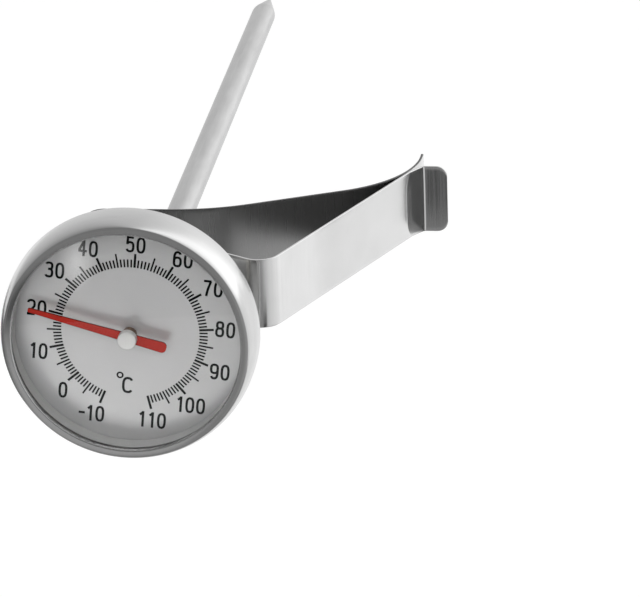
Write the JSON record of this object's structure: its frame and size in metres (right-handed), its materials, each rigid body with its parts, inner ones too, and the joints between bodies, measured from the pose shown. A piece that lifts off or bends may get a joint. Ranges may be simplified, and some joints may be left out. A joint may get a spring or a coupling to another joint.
{
  "type": "dial thermometer",
  "caption": "Clip-on bimetal dial thermometer: round steel head with window and pointer on a thin pointed probe stem, and a folded spring clip that slides on it and grips a vessel's wall.",
  "frame": {"origin": "the clip's grip: the middle of the gap between the jaw and the grip lip, halfway up the strip", "axes": "+Y along the stem from the dial to the probe's tip, -Y out of the dial's face, +X from the stem to the clip's jaw, +Z across the clip's strip"},
  "size_m": [0.0717, 0.1964, 0.045],
  "materials": {
    "polished_steel": "polished stainless steel",
    "satin_steel": "satin stainless steel",
    "spring_steel": "rolled spring steel",
    "grey_steel": "satin grey",
    "nickel": "nickel plated",
    "brass": "turned",
    "bimetal": "rolled bimetal",
    "dial": "silver dial with black print",
    "window": "clear",
    "rubber": "matt",
    "red": "red lacquer"
  },
  "bodies": {
    "clip": {"clip_band": "spring_steel"},
    "jaw": {"clip_jaw": "spring_steel"},
    "stem": {"stem_tube": "satin_steel", "stem_tip": "satin_steel", "coil_anchor": "brass", "bimetal_coil": "bimetal", "calibration_nut": "nickel", "shaft_guide": "brass"},
    "case": {"case_cup": "satin_steel", "case_bush": "brass", "shaft_bearing": "brass", "friction_washer": "spring_steel", "bezel_ring": "polished_steel", "lens": "window", "lens_gasket": "rubber", "dial_ring": "grey_steel", "dial_plate": "dial"},
    "needle": {"pointer": "red", "pointer_hub": "nickel", "pointer_collet": "brass", "pointer_shaft": "spring_steel", "coil_sleeve": "brass"}
  },
  "joints": [
    {"name": "jaw_open", "type": "hinge", "parent": "clip", "child": "jaw", "pos_m": [-0.01646, -0.03914, 0], "axis": [0, 0, -1], "range_deg": [0, 6], "stiffness_Nm_per_rad": 0.3},
    {"name": "stem_slide", "type": "slide", "parent": "clip", "child": "stem", "axis": [0, 1, 0], "range_m": [-0.134, 0.0125]},
    {"name": "calibration_turn", "type": "hinge", "parent": "stem", "child": "case", "pos_m": [-0.04002, -0.0665, 0], "axis": [0, 1, 0], "continuous": true},
    {"name": "pointer_sweep", "type": "hinge", "parent": "stem", "child": "needle", "pos_m": [-0.04002, -0.0625, 0], "axis": [0, 1, 0], "range_deg": [-81.81, 242.19], "stiffness_Nm_per_rad": 0.0005}
  ]
}
